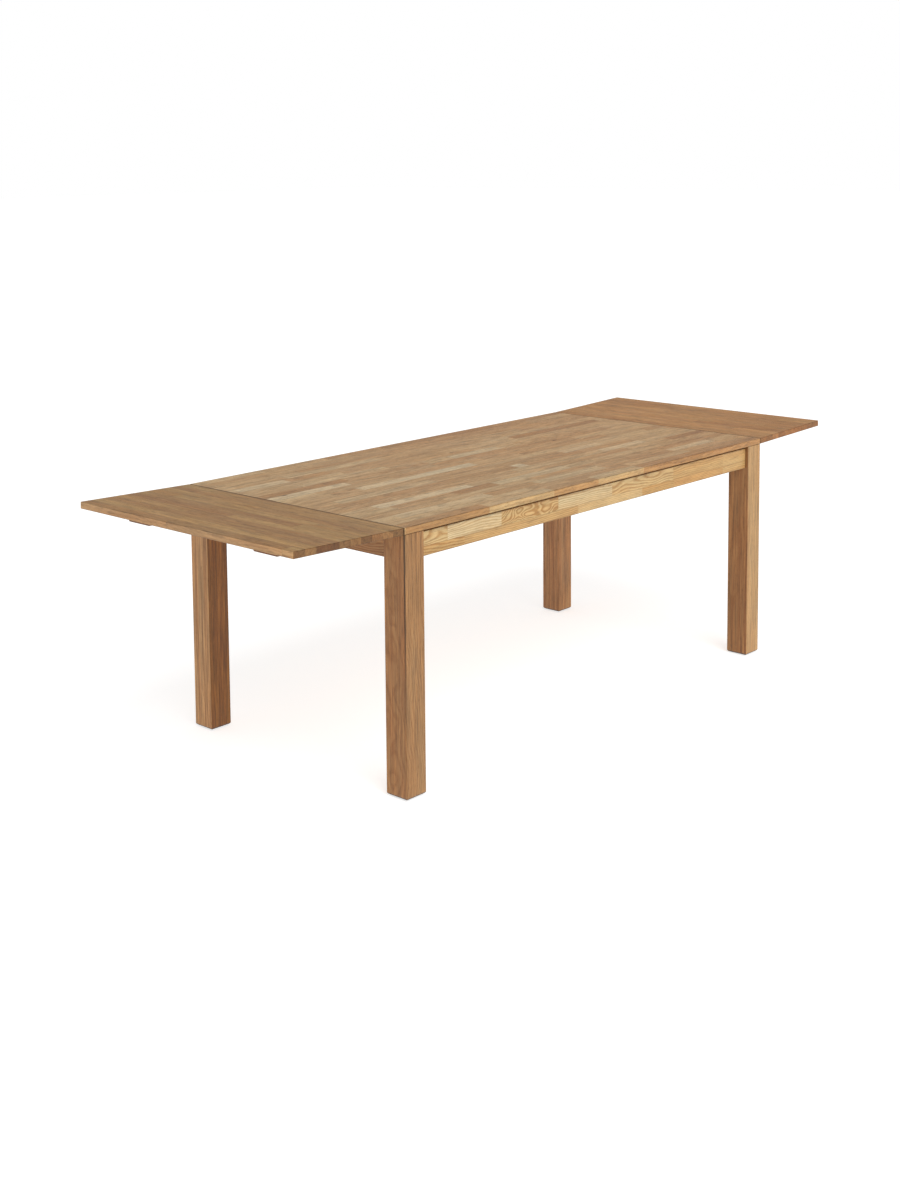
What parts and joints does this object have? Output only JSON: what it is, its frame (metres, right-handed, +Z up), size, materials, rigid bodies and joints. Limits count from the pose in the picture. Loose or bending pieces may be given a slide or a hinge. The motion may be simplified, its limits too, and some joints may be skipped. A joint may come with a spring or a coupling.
{
  "type": "extendable dining table",
  "caption": "Rectangular oak dining table on square corner legs, lengthened by add-on end leaves that slide into guides under the top on wooden bearers.",
  "frame": {"origin": "on the floor, under the middle of the main top", "axes": "+X along the table towards the right-hand leaf, +Y towards the back long side, +Z up"},
  "size_m": [2.6038, 0.9, 0.7711],
  "materials": {
    "oak_top": "oiled, stave-glued oak, satin",
    "oak_leaf": "oiled, stave-glued oak, satin",
    "oak_leg": "oiled oak, satin",
    "oak_apron": "oiled, finger-jointed oak, satin",
    "oak_bearer": "oiled oak, satin",
    "oak_frame": "planed, unfinished oak and beech",
    "zinc_steel": "zinc-plated",
    "glide_plastic": "moulded, matte"
  },
  "bodies": {
    "table": {"table_top": "oak_top", "leg_front_left": "oak_leg", "leg_front_right": "oak_leg", "leg_back_left": "oak_leg", "leg_back_right": "oak_leg", "apron_front": "oak_apron", "apron_back": "oak_apron", "apron_left": "oak_apron", "apron_right": "oak_apron", "cleats_front": "oak_frame", "cleats_back": "oak_frame", "cleat_left": "oak_frame", "cleat_right": "oak_frame", "cross_rail_left": "oak_frame", "cross_rail_right": "oak_frame", "corner_bracket_front_left": "zinc_steel", "corner_bracket_front_right": "zinc_steel", "corner_bracket_back_left": "zinc_steel", "corner_bracket_back_right": "zinc_steel", "hanger_bolts": "zinc_steel", "hanger_washers": "zinc_steel", "hanger_nuts": "zinc_steel", "rail_angles": "zinc_steel", "guide_rails_front_left": "oak_frame", "guide_rails_front_right": "oak_frame", "guide_rails_back_left": "oak_frame", "guide_rails_back_right": "oak_frame", "guide_strap_front_left": "oak_frame", "guide_strap_front_right": "oak_frame", "guide_strap_back_left": "oak_frame", "guide_strap_back_right": "oak_frame", "guide_spacer_front_left": "oak_frame", "guide_spacer_front_right": "oak_frame", "guide_spacer_back_left": "oak_frame", "guide_spacer_back_right": "oak_frame", "cleat_screws": "zinc_steel", "guide_screws": "zinc_steel", "strap_screws": "zinc_steel", "bracket_screws": "zinc_steel", "angle_screws": "zinc_steel", "floor_glides": "glide_plastic"},
    "left_leaf": {"leaf_left": "oak_leaf", "bearer_left_front": "oak_bearer", "bearer_left_back": "oak_bearer", "bearer_screws_left": "zinc_steel", "leaf_dowels_left": "oak_frame"},
    "right_leaf": {"leaf_right": "oak_leaf", "bearer_right_front": "oak_bearer", "bearer_right_back": "oak_bearer", "bearer_screws_right": "zinc_steel", "leaf_dowels_right": "oak_frame"}
  },
  "joints": [
    {"name": "left_leaf_slide", "type": "slide", "parent": "table", "child": "left_leaf", "axis": [-0.9996, 0, 0.0279], "range_m": [0, 0.4]},
    {"name": "right_leaf_slide", "type": "slide", "parent": "table", "child": "right_leaf", "axis": [0.9996, 0, 0.0279], "range_m": [0, 0.4]}
  ]
}
